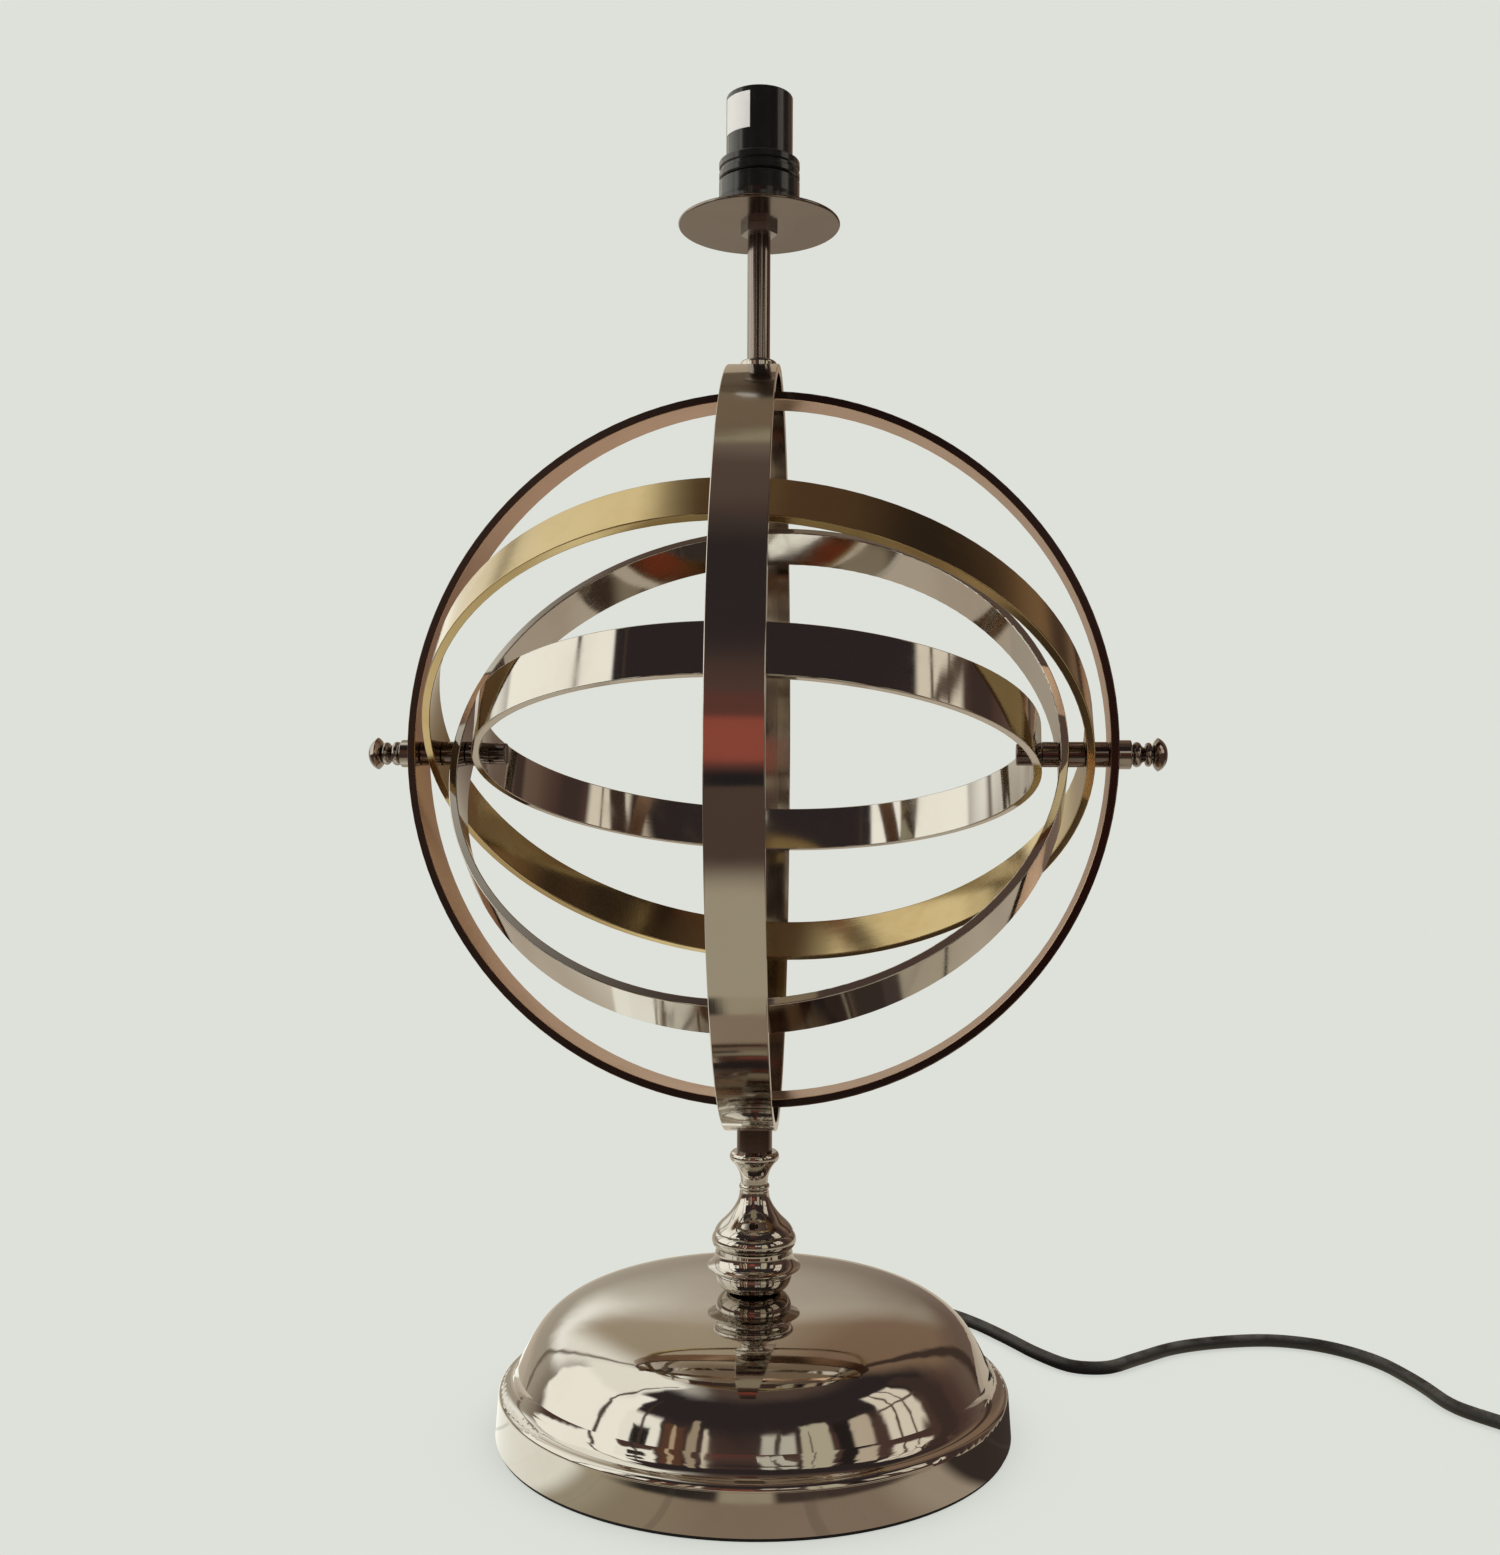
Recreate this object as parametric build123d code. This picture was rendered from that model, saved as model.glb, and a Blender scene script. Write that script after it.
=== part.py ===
from build123d import *
import math
import os

# Armillary-sphere table lamp base with its lampholder, supply cable and plug.
# Millimetres, +Z up, origin on the floor at the centre of the base.
# The horizontal ring axis lies along X; the cable leaves toward +Y and runs off to +X.

# ------------------------------------------------------------------ dimensions
base_r = 110.0            # radius of the base at the floor
base_wall = 1.5           # spun sheet thickness
pad_t = 1.5               # felt pad under the base
dome_top = 57.5

# Heights from the neck up are measured before these lifts.
rim_rise = 3.5            # lift of everything that stands on the base shell
stem_extra = 3.0          # further lift of the gallery and lampholder
top_lift = rim_rise + stem_extra

sphere_z = 288.0          # height of the common ring centre
ring_w = 21.0             # width of every band
ring_t = 3.5              # thickness of every band
outer_ring_r = 162.0      # outside radii of the rings
bronze_r = 153.6
brass_r = 143.7
large_nickel_r = 132.8
small_nickel_r = 121.9
outer_turn = 4.1          # turn of the outer ring plane about Z, degrees
brass_tilt = -39.7        # tilts about the X axis, degrees
large_nickel_tilt = 51.9
small_nickel_tilt = -16.9

axis_r = 2.5              # pivot bolt shank
axis_drop = 2.2           # the horizontal axis lies this far below the ring centre
spacer_r = 5.4
inner_spacer_len = 7.1    # spacers outside the two nickel rings
outer_spacer_len = 6.0    # spacer between the brass and bronze rings
pin_r = 2.0               # vertical pivot screws
tube_r = 5.0              # threaded tube of the neck and stem
tube_in = 4.0
recess_r = 6.7            # hollow of the blocks that meet the outer ring

disc_r = 35.3             # gallery disc
disc_z = 513.0
disc_t = 1.5
holder_z = disc_z + disc_t
holder_top = 569.5
barrel_r = 14.5
cap_r = 17.6
socket_r = 11.3           # lampholder mouth
contact_x = 4.2           # offset of each contact from the axis

cable_r = 3.0
core_r = 0.95
core_x = 1.2              # offset of each core from the cable axis
cable_z = 11.5            # height of the cable through the base
cable_start = 34.0        # radius at which cable and cores meet

close_fit = 0.02          # radial clearances
slip_fit = 0.05
hole_fit = 0.1

# --------------------------------------------------------------------- helpers
os.makedirs("parts", exist_ok=True)


def save(name, *pieces, lift=rim_rise):
    """Lift the pieces and write them as one STEP file."""
    lifted = [Pos(0, 0, lift) * piece for piece in pieces]
    shape = lifted[0] if len(lifted) == 1 else Compound(children=lifted)
    export_step(shape, "parts/" + name + ".step")


def outline_face(outline, plane):
    """Closed face from a start point followed by steps.

    A step is a point (line), a pair of points (arc: through, end) or a list (spline).
    """
    start = current = outline[0]
    edges = []
    for step in outline[1:]:
        if isinstance(step, list):
            edges.append(Spline([current] + step))
            current = step[-1]
        elif isinstance(step[0], tuple):
            edges.append(ThreePointArc(current, step[0], step[1]))
            current = step[1]
        else:
            edges.append(Line(current, step))
            current = step
    if math.dist(current, start) > 1e-6:
        edges.append(Line(current, start))
    return plane * make_face(Wire(edges))


def turned(outline):
    """Body of revolution about Z from (radius, height) points."""
    return revolve(outline_face(outline, Plane.XZ), Axis.Z)


def turned_x(outline):
    """Body of revolution about X from (station along X, radius) points."""
    return revolve(outline_face(outline, Plane.XY), Axis.X)


def rod(radius, bottom, top):
    height = top - bottom
    return Pos(0, 0, bottom + height / 2) * Cylinder(radius, height)


def tube(r_out, r_in, bottom, top):
    return rod(r_out, bottom, top) - rod(r_in, bottom - 1, top + 1)


def hex_nut(across, bottom, top):
    """Hexagonal nut on the threaded tube; across is the width over the flats."""
    body = Pos(0, 0, bottom) * extrude(RegularPolygon(across / math.sqrt(3), 6), top - bottom)
    return body - rod(tube_r + close_fit, bottom - 1, top + 1)


def rod_x(radius, x_start, x_end):
    return Pos((x_start + x_end) / 2, 0, 0) * Rot(0, 90, 0) * Cylinder(radius, x_end - x_start)


centre = Pos(0, 0, sphere_z)
axis_centre = Pos(0, 0, sphere_z - axis_drop)
back = Rot(0, 0, outer_turn)          # turns local +Y onto the back of the outer ring plane

# ------------------------------------------------------------------------ base
dome_under = dome_top - base_wall
shell = turned([
    (base_r, pad_t), (108.9, 17.4),
    ((108.3, 19.3), (106.6, 20.3)),
    ((104.0, 21.7), (102.4, 24.0)),
    ((101.4, 25.8), (100.6, 27.9)),
    [(97.4, 34.1), (91.6, 42.7), (82.5, 49.7), (70.0, 54.1), (50.0, 56.7), (24.0, 57.45),
     (9.0, dome_top)],
    (tube_r + hole_fit, dome_top), (tube_r + hole_fit, dome_under), (14.0, dome_under),
    [(24.0, 55.92), (49.8, 55.2), (69.6, 52.65), (81.7, 48.4), (90.4, 41.7), (96.0, 33.4),
     (99.3, 27.1)],
    (101.0, 23.4), (102.9, 20.4), (105.6, 18.9), (107.0, 17.0), (base_r - 1.8, pad_t)])
cable_hole = back * Pos(0, 106, cable_z) * Rot(90, 0, 0) * Cylinder(4.5, 20)
save("base_shell", shell - cable_hole, lift=0)

# Ring weight with a radial slot for the cable
weight = tube(105.6, 55.0, pad_t, 13.0) - back * Pos(0, 82, 8) * Box(10, 70, 20)
save("base_weight", weight, lift=0)
save("felt_pad", rod(base_r - 0.8, 0, pad_t), lift=0)

# Cable bush outline, from the inside outward: flange, waist, rounded lip and taper.
# The uncut shell divides it and the largest piece is kept.
bush_r = cable_r + close_fit
bush = turned([(bush_r, -2.4), (6.2, -2.4), (6.2, -0.9), (4.45, -0.9), (4.45, 1.2), (6.0, 1.2),
               ((6.6, 2.2), (6.0, 3.4)), (4.6, 7.0), (bush_r, 7.0)])
rim_mid_r = 108.5
bush = back * Pos(0, rim_mid_r, cable_z) * Rot(-90, 0, 0) * bush
save("cable_grommet", (bush - shell).solids().sort_by(SortBy.VOLUME)[-1], lift=0)

# ------------------------------------------------------------------------ neck
neck_base = dome_top - rim_rise
neck_top = 114.0
neck_bore = tube_r + slip_fit
# Stacked turnings, lowest first: name, top height, outside as (radius, height)
neck_turnings = [
    ("neck_foot", 62.8, [(9.2, neck_base), ((14.4, 56.2), (16.3, 61.0)),
                         ((16.0, 62.2), (15.2, 62.8))]),
    ("neck_flared_band", 70.9, [(15.6, 62.8), (19.9, 64.2), ((20.3, 64.7), (20.0, 65.2)),
                                ((17.6, 67.6), (16.7, 70.9))]),
    ("neck_vase", 96.6, [(14.6, 70.9), (14.6, 72.3), (15.4, 72.3), ((18.2, 76.2), (15.6, 80.1)),
                         (16.9, 80.1), [(15.6, 82.2), (12.2, 85.6), (8.8, 89.8), (7.0, 93.2),
                                        (6.4, 96.6)]]),
    ("neck_bead", 101.0, [(5.7, 96.6), (5.7, 97.3), ((6.6, 98.8), (5.7, 100.3)), (5.7, 101.0)]),
    ("neck_cup", neck_top, [(5.9, 101.0), (5.9, 102.0), ((7.3, 106.6), (10.2, 110.2)),
                            ((10.7, 111.8), (10.2, 113.4)), (9.6, neck_top)]),
]
bottom = neck_base
for name, top, outside in neck_turnings:
    save(name, turned([(neck_bore, bottom), *outside, (neck_bore, top)]))
    bottom = top

neck_tube_top = 117.0
nut_top = 51.0
save("neck_tube", tube(tube_r, tube_in, 41.0, neck_tube_top))
save("neck_washer", tube(12.5, tube_r + hole_fit, nut_top, neck_base - base_wall - 0.01))
save("neck_nut", hex_nut(17.0, 46.0, nut_top))

# Hollow block that carries the outer ring, its top curved to the ring
ring_seat = centre * Rot(0, 90, 0) * Cylinder(outer_ring_r + 0.01, 60)
block = rod(7.65, neck_top, 127.5) - rod(recess_r, neck_tube_top, 128)
block = block - rod(tube_r + close_fit, neck_top - 1, neck_tube_top + 0.5)
save("ring_saddle_block", back * (block - ring_seat))

# ------------------------------------------------------------------ outer ring


def band(r_out):
    """Flat hoop about local Z with rounded edges."""
    half = ring_w / 2
    edge_r = 0.45
    inset = edge_r * 0.293            # corner to the middle of the rounding, along each axis
    r_in = r_out - ring_t
    return turned([
        (r_in + edge_r, -half), (r_out - edge_r, -half),
        ((r_out - inset, -half + inset), (r_out, -half + edge_r)), (r_out, half - edge_r),
        ((r_out - inset, half - inset), (r_out - edge_r, half)), (r_in + edge_r, half),
        ((r_in + inset, half - inset), (r_in, half - edge_r)), (r_in, -half + edge_r),
        ((r_in + inset, -half + inset), (r_in + edge_r, -half))])


def arc_sector(r_in, r_out, half_width, start, end):
    """Annular sector in the YZ plane; angles in degrees from -Z toward +Y."""
    def at(radius, degrees):
        angle = math.radians(degrees)
        return (radius * math.sin(angle), -radius * math.cos(angle))

    middle = (start + end) / 2
    outline = [at(r_in, start), (at(r_in, middle), at(r_in, end)),
               at(r_out, end), (at(r_out, middle), at(r_out, start))]
    face = outline_face(outline, Plane.YZ)
    return Pos(-half_width, 0, 0) * extrude(face, 2 * half_width, dir=(1, 0, 0))


outer_in = outer_ring_r - ring_t
strip_depth = 0.65                    # recess for the cover strip
wire_path_r = 160.2                   # radius of the wires in their groove
groove_r = 161.3
slot_start, slot_end = 3.3, 6.7       # Y extent of the wire slots at top and bottom
slot_angle = math.degrees(math.asin(slot_start / wire_path_r))

outer_ring = Rot(0, 90, 0) * band(outer_ring_r)
outer_ring -= arc_sector(outer_in - 0.5, outer_in + strip_depth, 4.05, 2.3, 177.7)
outer_ring -= arc_sector(outer_in - 0.5, groove_r, 2.35, slot_angle, 180 - slot_angle)
for side in (-1, 1):
    slot = Box(4.7, slot_end - slot_start, 8)
    outer_ring -= Pos(0, (slot_start + slot_end) / 2, side * outer_ring_r) * slot
outer_ring -= Cylinder(pin_r + close_fit, 400)
save("outer_ring", centre * back * outer_ring)

strip = arc_sector(outer_in + 0.02, outer_in + strip_depth - 0.03, 4.0, 2.4, 177.6)
save("wire_cover_strip", centre * back * strip)

# Vertical pivot screws, slotted in the head, and their washers
screw_face = bronze_r - ring_t - 0.25
screw_head = 2.2
screw = rod(pin_r, screw_face, outer_ring_r + 0.2)
screw = screw + rod(4.0, screw_face - screw_head, screw_face)
screw = screw - Pos(0, 0, screw_face - screw_head) * Box(10, 1.0, 2.0)
washer = tube(4.2, pin_r + close_fit, bronze_r + 0.15, outer_in - 0.08)
for end_name, flip in (("top", 0), ("bottom", 180)):
    save("pivot_screw_" + end_name, centre * Rot(flip, 0, 0) * screw)
    save("pivot_washer_" + end_name, centre * Rot(flip, 0, 0) * washer)

# ----------------------------------------------------------------- inner rings
axis_bore = axis_r + close_fit
bronze_ring = Rot(90, 0, 0) * band(bronze_r) - Pos(0, 0, -axis_drop) * rod_x(axis_bore, -200, 200)
save("bronze_ring", centre * (bronze_ring - Cylinder(pin_r + slip_fit, 400)))

running_bore = rod_x(axis_r + slip_fit, -200, 200)
for name, radius, tilt in (("brass_ring", brass_r, brass_tilt),
                           ("large_nickel_ring", large_nickel_r, large_nickel_tilt),
                           ("small_nickel_ring", small_nickel_r, small_nickel_tilt)):
    save(name, axis_centre * (Rot(tilt, 0, 0) * band(radius) - running_bore))

# ------------------------------------------- horizontal axis, built on the +X side
bolt_head = 6.8
bolt_face = small_nickel_r - ring_t - 0.25
bolt_end = bronze_r + 15.0
bolt = Pos(bolt_face - bolt_head, 0, 0) * turned_x([
    (0, 0), (0, 4.0), ((0.2, 4.5), (0.7, 4.7)), (bolt_head, 4.7), (bolt_head, 0)])
bolt = bolt + rod_x(axis_r, bolt_face, bolt_end)
bolt = bolt - Pos(bolt_face - bolt_head, 0, 0) * Box(2.8, 1.2, 20)


def spacer(ring_r, length):
    """Chamfered spacer just outside the ring of the given radius."""
    chamfer_len = 0.3
    return Pos(ring_r + 0.15, 0, 0) * turned_x([
        (0, axis_bore), (0, spacer_r - chamfer_len), (chamfer_len, spacer_r),
        (length - chamfer_len, spacer_r), (length, spacer_r - chamfer_len), (length, axis_bore)])


spacers = [spacer(small_nickel_r, inner_spacer_len),
           spacer(large_nickel_r, inner_spacer_len),
           spacer(brass_r, outer_spacer_len)]

collar_x = bronze_r + 0.02
collar_len = 5.7
collar = Pos(collar_x, 0, 0) * turned_x([
    (0, axis_bore), (0, 5.9), ((0.2, 6.1), (0.6, 6.15)), (5.0, 6.15),
    ((5.5, 6.0), (collar_len, 5.4)), (collar_len, axis_bore)])

finial_x = collar_x + collar_len
finial = Pos(finial_x, 0, 0) * turned_x([
    (0, 0), (0, 3.6), (0.5, 3.6), ((2.0, 5.3), (4.0, 4.2)), ((5.2, 3.1), (6.0, 2.9)),
    ((7.1, 5.1), (8.2, 2.9)), (8.8, 3.0), ((9.6, 5.6), (11.0, 7.1)),
    ((13.9, 4.6), (14.9, 0.5)), (14.9, 0)])
finial = finial - rod_x(axis_bore, finial_x - 1, bolt_end + 0.1)

for side_name, flip in (("right", 0), ("left", 180)):
    place = axis_centre * Rot(0, 0, flip)
    save("pivot_bolt_" + side_name, place * bolt)
    save("axis_spacers_" + side_name, *[place * piece for piece in spacers])
    save("finial_collar_" + side_name, place * collar)
    save("finial_" + side_name, place * finial)

# ------------------------------------------------------------ stem and gallery
foot_base, foot_top = 449.0, 457.0
foot = turned([(0, foot_base), (8.0, foot_base), (8.0, 455.6), ((7.6, 456.6), (6.6, foot_top)),
               (0, foot_top)])
foot = foot - rod(recess_r, 440.0, 454.5) - rod(tube_r + close_fit, 450.0, 458.0) - ring_seat
save("stem_foot", back * foot)
save("stem_tube", tube(tube_r, tube_in, 455.0, 519.0 + stem_extra))
save("gallery_nut", hex_nut(14.0, 509.5, disc_z), lift=top_lift)

disc = turned([(tube_r + slip_fit, disc_z), (disc_r - 0.4, disc_z),
               ((disc_r, disc_z + disc_t / 2), (disc_r - 0.4, holder_z)),
               (tube_r + slip_fit, holder_z)])
save("gallery_disc", disc, lift=top_lift)

# ----------------------------------------------------------------- lampholder
cap_bore = tube_r + close_fit
barrel_bore = barrel_r + slip_fit
cap = turned([
    (cap_bore, holder_z), (11.6, holder_z), ((15.6, 518.0), (17.2, 523.2)), (cap_r, 524.6),
    (cap_r, 531.8), (17.0, 532.4), (barrel_bore, 532.4), (barrel_bore, 520.6), (9.0, 520.6),
    (9.0, 523.0), (cap_bore, 523.0)])
save("holder_cap", cap, lift=top_lift)

# Ring round the barrel with a groove at mid height
shade_ring = turned([
    (barrel_bore, 532.8), (17.0, 532.8), (cap_r, 533.4), (cap_r, 535.6), (16.9, 536.2),
    (16.9, 537.4), (cap_r, 538.0), (cap_r, 540.2), ((17.4, 540.8), (16.8, 541.0)),
    (barrel_bore, 541.0)])
save("shade_ring", shade_ring, lift=top_lift)

# Barrel, wider inside below the mouth, with two opposed J-shaped bayonet slots
counterbore_r = 13.0
barrel = turned([
    (counterbore_r, 521.0), (barrel_r, 521.0), (barrel_r, holder_top - 0.8),
    ((14.3, holder_top - 0.2), (13.7, holder_top)), (socket_r + 0.5, holder_top),
    (socket_r, holder_top - 0.5), (socket_r, 553.6), (socket_r + 0.4, 553.2),
    (socket_r + 0.4, 544.5), (counterbore_r, 544.5)])
j_slot = Pos(0, 12.3, 564.5) * Box(3.0, 2.6, 14.0)
j_slot = j_slot + Pos(2.6, 12.0, 558.9) * Rot(0, 0, -12) * Box(6.6, 2.6, 2.9)
j_slot = j_slot + Pos(4.4, 11.6, 560.2) * Rot(0, 0, -20) * Box(2.9, 2.6, 3.4)
for turn in (0, 180):
    barrel = barrel - Rot(0, 0, turn) * j_slot
save("holder_barrel", barrel, lift=top_lift)

# Insert with two stepped plunger bores and two smaller blind holes outside them
insert = rod(counterbore_r - 0.05, 531.8, 544.4)
for side in (-1, 1):
    insert = insert - Pos(side * contact_x, 0, 0) * rod(2.45, 533.4, 543.0)
    insert = insert - Pos(side * contact_x, 0, 0) * rod(1.8, 542.0, 545.0)
    insert = insert - Pos(side * 9.6, 0, 0) * rod(1.3, 531.0, 540.0)
save("holder_insert", insert, lift=top_lift)

plunger = turned([(0, 539.4), (2.4, 539.4), (2.4, 542.95), (1.75, 542.95), (1.75, 551.2),
                  ((1.35, 552.15), (0.4, 552.6)), (0, 552.6)])
coil = Helix(pitch=1.06, height=5.3, radius=1.9)
spring_wire = Plane(origin=coil @ 0, z_dir=coil % 0) * Circle(0.25)
spring = sweep(spring_wire, path=coil, is_frenet=True)
for side_name, side in (("right", 1), ("left", -1)):
    save("contact_plunger_" + side_name, Pos(side * contact_x, 0, 0) * plunger, lift=top_lift)
    save("contact_spring_" + side_name, Pos(side * contact_x, 0, 533.75) * spring, lift=top_lift)

# Label: a thin sleeve round the barrel, limited to one sector
label_turn = 202.0                    # start angle about Z, degrees
label_angle = math.radians(58)
wedge_r = 40
sleeve = tube(barrel_r + 0.16, barrel_r + 0.01, 551.2, 567.0)
wedge = outline_face([(0, 0), (wedge_r, 0),
                      (wedge_r * math.cos(label_angle), wedge_r * math.sin(label_angle))],
                     Plane.XY)
wedge = Rot(0, 0, label_turn) * extrude(Pos(0, 0, 550) * wedge, 20)
save("holder_label", sleeve & wedge, lift=top_lift)

# ---------------------------------------------------------------------- wiring
# Two cores run from the cable end up the neck, round the back half of the outer
# ring in its groove and up the stem, planar in the outer ring plane.
riser_y = 4.8                         # Y of the cores through the ring slots
bend_r = 1.25                         # bend from riser to groove
bend_dz = math.sqrt((wire_path_r + bend_r) ** 2 - (riser_y + bend_r) ** 2)
bend_angle = math.atan2(riser_y + bend_r, bend_dz)
join_y = wire_path_r * math.sin(bend_angle)
join_dz = wire_path_r * math.cos(bend_angle)
low_z = sphere_z - bend_dz            # heights of the bend centres
high_z = sphere_z + bend_dz
core_z = cable_z - rim_rise
elbow_r = 9
neck_exit_z, riser_foot_z = 115.0, 123.6
riser_top_z, stem_entry_z = 450.4, 459.6


def yz(y, z):
    return (0, y, z)


core_path = Wire([
    Line(yz(cable_start, core_z), yz(elbow_r, core_z)),
    TangentArc(yz(elbow_r, core_z), yz(0, core_z + elbow_r), tangent=(0, -1, 0)),
    Line(yz(0, core_z + elbow_r), yz(0, neck_exit_z)),
    Spline([yz(0, neck_exit_z), yz(riser_y, riser_foot_z)], tangents=[(0, 0, 1), (0, 0, 1)]),
    Line(yz(riser_y, riser_foot_z), yz(riser_y, low_z)),
    TangentArc(yz(riser_y, low_z), yz(join_y, sphere_z - join_dz), tangent=(0, 0, 1)),
    ThreePointArc(yz(join_y, sphere_z - join_dz), yz(wire_path_r, sphere_z),
                  yz(join_y, sphere_z + join_dz)),
    TangentArc(yz(riser_y, high_z), yz(join_y, sphere_z + join_dz), tangent=(0, 0, -1)),
    Line(yz(riser_y, high_z), yz(riser_y, riser_top_z)),
    Spline([yz(riser_y, riser_top_z), yz(0, stem_entry_z)], tangents=[(0, 0, 1), (0, 0, 1)]),
    Line(yz(0, stem_entry_z), yz(0, 531.6 + stem_extra)),
])
core_start = Plane(origin=yz(cable_start, core_z), x_dir=(1, 0, 0), z_dir=(0, -1, 0))
core = sweep(core_start * Circle(core_r), path=core_path)
for name, side in (("live_core", -1), ("neutral_core", 1)):
    save(name, back * Pos(side * core_x, 0, 0) * core)

# ---------------------------------------------------------------- supply cable
# Floor run as (x, y), turned about Z by floor_turn
floor_turn = math.radians(7.0)
floor_run = [
    (14, 147), (33, 158), (60, 161), (92, 147), (112, 125), (126, 101),
    (138, 78), (151, 62.5), (166, 61), (184, 73), (206, 88.2), (233, 97.3),
    (259, 99.3), (281, 90.5), (297.5, 71), (305.5, 43), (310, 15), (322, -3)]
floor_points = [Vector(x * math.cos(floor_turn) - y * math.sin(floor_turn),
                       x * math.sin(floor_turn) + y * math.cos(floor_turn), cable_r)
                for x, y in floor_run]
exit_angle = math.radians(90 + outer_turn)
away = Vector(math.cos(exit_angle), math.sin(exit_angle), 0)


def radial(radius, z):
    """Point in the vertical plane in which the cable leaves the base."""
    return Vector(radius * math.cos(exit_angle), radius * math.sin(exit_angle), z)


def blend(start, end, t_start, t_end, t):
    span = t_end - t_start
    return start * ((t_end - t) / span) + end * ((t - t_start) / span)


def smooth(knots, count):
    """Centripetal interpolation through the knots, leaving out the first and last."""
    found = []
    for i in range(1, len(knots) - 2):
        p0, p1, p2, p3 = knots[i - 1:i + 3]
        t0 = 0.0
        t1 = t0 + math.sqrt((p1 - p0).length)
        t2 = t1 + math.sqrt((p2 - p1).length)
        t3 = t2 + math.sqrt((p3 - p2).length)
        for j in range(count):
            t = t1 + (t2 - t1) * j / count
            a1 = blend(p0, p1, t0, t1, t)
            a2 = blend(p1, p2, t1, t2, t)
            a3 = blend(p2, p3, t2, t3, t)
            b1 = blend(a1, a2, t0, t2, t)
            b2 = blend(a2, a3, t1, t3, t)
            found.append(blend(b1, b2, t1, t2, t))
    found.append(knots[-2])
    return found


plug_z = 7.0
wall_exit = radial(117, cable_z)
floor_start = radial(133, cable_r)
floor_end = floor_points[-1]
onward = (floor_end - floor_points[-2]).normalized()
plug_entry = floor_end + onward * 22 + Vector(0, 0, plug_z - cable_r)
cable_tip = plug_entry + onward * 12
knots = [floor_start - away * 12, floor_start] + floor_points + [floor_end + onward * 12]
cable_path = Wire([
    Line(radial(cable_start, cable_z), wall_exit),
    Spline([wall_exit, floor_start], tangents=[away, away]),
    Spline(smooth(knots, 3), tangents=[away, onward], tangent_scalars=[1, 1]),
    Spline([floor_end, plug_entry], tangents=[onward, onward]),
    Line(plug_entry, cable_tip),
])
cable_section = Plane(origin=radial(cable_start, cable_z), z_dir=away) * Circle(cable_r)
save("mains_cable", sweep(cable_section, path=cable_path), lift=0)

# ------------------------------------- flat two-pin plug, built pointing along +X
pin_y = 9.3                           # offset of each pin from the plug axis
plug_pin_r = 2.0
heading = math.degrees(math.atan2(onward.Y, onward.X))
at_tip = Pos(cable_tip.X, cable_tip.Y, 0) * Rot(0, 0, heading)
plug = Pos(19, 0, plug_z) * Box(26, 34, 13.6)
plug = fillet(plug.edges().filter_by(Axis.Z), 7)
plug = fillet(plug.edges(), 2.2)
plug = plug + Pos(-1, 0, plug_z) * Rot(0, 90, 0) * Cone(4.2, 6.4, 17)
plug = plug - Pos(-5, 0, plug_z) * Rot(0, 90, 0) * Cylinder(cable_r + close_fit, 10.1)
pins = []
for side in (-1, 1):
    pin_hole = Cylinder(plug_pin_r + close_fit, 12)
    plug = plug - Pos(30, side * pin_y, plug_z) * Rot(0, 90, 0) * pin_hole
    pin = Pos(36.4, side * pin_y, plug_z) * Rot(0, 90, 0) * Cylinder(plug_pin_r, 24.6)
    pins.append(at_tip * fillet(pin.edges().sort_by(Axis.X)[-1], 1.4))
save("plug_body", at_tip * plug, lift=0)
save("plug_pins", *pins, lift=0)
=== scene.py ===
# Table lamp stand: a domed base on the floor at z = 0, a turned neck and stem along Z, a group
# of tilting metal rings round (0, 0, RING_Z), and a lampholder on top. The rings' pivot axis
# lies along X (left is -X). The camera stands on the -Y side, turned a few degrees about Z.
import math
import bpy
import bmesh
from mathutils import Matrix, Vector


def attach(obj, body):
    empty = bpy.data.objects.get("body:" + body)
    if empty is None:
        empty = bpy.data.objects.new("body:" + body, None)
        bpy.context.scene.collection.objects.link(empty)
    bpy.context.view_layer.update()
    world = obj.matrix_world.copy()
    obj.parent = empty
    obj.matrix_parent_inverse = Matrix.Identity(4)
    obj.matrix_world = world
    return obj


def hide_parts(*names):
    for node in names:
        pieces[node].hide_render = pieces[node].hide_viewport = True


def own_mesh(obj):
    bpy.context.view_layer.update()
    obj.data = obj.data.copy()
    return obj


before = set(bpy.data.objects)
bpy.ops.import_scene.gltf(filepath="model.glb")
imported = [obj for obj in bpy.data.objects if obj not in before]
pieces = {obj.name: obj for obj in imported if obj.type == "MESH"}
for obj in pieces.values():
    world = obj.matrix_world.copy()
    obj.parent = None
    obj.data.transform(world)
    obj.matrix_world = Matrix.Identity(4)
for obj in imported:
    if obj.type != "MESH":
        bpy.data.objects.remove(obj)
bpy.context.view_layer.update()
scene = bpy.context.scene

# Ring group
RING_Z = 0.2915
PIVOT_DROP = 0.0022                  # pivot axis below the centre of the outer ring
OUTER_TURN = math.radians(4.1)       # outer ring turned about Z
RING_CENTRE = (0, 0, RING_Z)
PIVOT_CENTRE = (0, 0, RING_Z - PIVOT_DROP)


def srgb(colour):
    """Scene-linear colour from sRGB 0-255."""
    parts = (c / 255.0 for c in colour)
    return tuple(c / 12.92 if c <= 0.04045 else ((c + 0.055) / 1.055) ** 2.4 for c in parts)


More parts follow.
